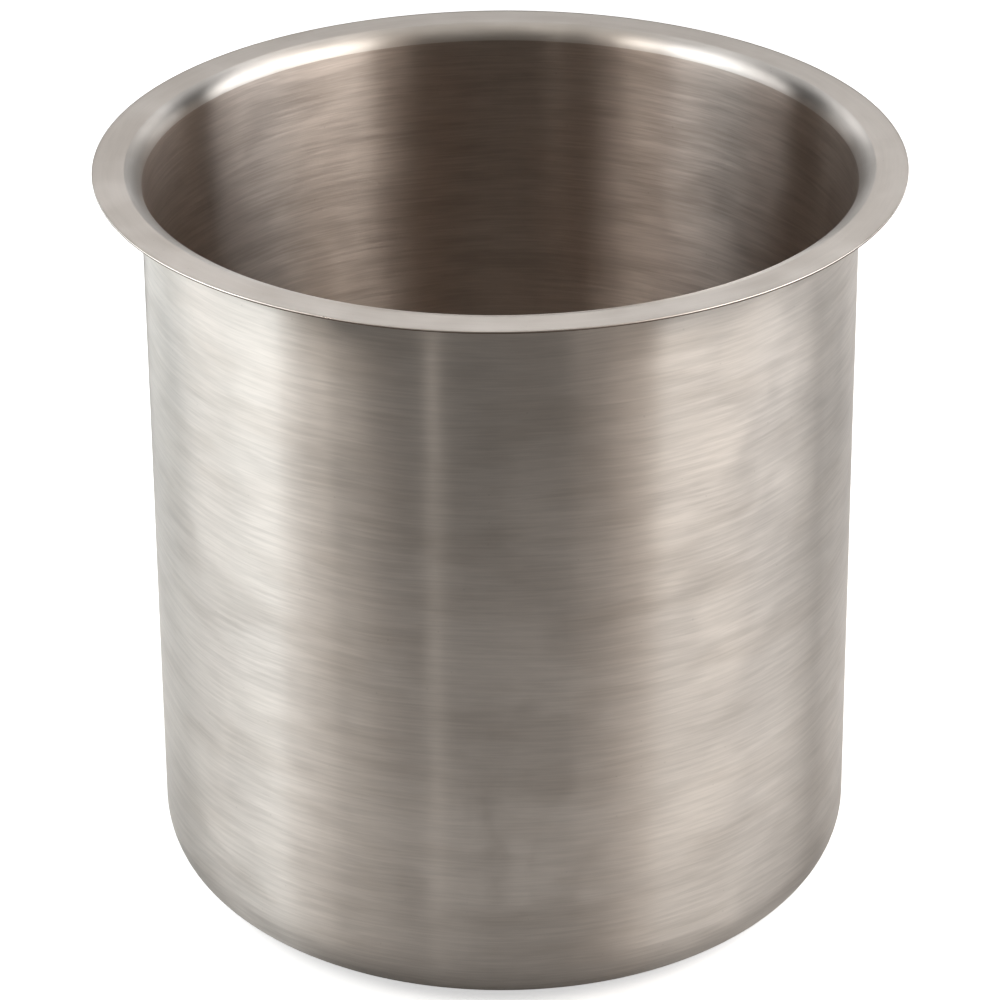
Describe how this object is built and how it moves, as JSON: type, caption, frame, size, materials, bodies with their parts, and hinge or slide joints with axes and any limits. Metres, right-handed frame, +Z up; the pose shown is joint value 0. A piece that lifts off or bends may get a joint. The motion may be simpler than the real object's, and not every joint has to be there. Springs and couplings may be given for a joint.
{
  "type": "soup kettle inner pot",
  "caption": "Straight-sided round stainless pot with a rolled mouth and a flat hanging flange: the lift-out inner pot of a soup kettle.",
  "frame": {"origin": "centre of the base's underside", "axes": "+Z up along the pot's axis, towards its mouth; X and Y are any two square directions, the pot being round"},
  "size_m": [0.264, 0.264, 0.254],
  "materials": {
    "stainless": "brushed round the axis, satin on the flange"
  },
  "bodies": {
    "root": {"kettle_pot": "stainless"}
  },
  "joints": []
}
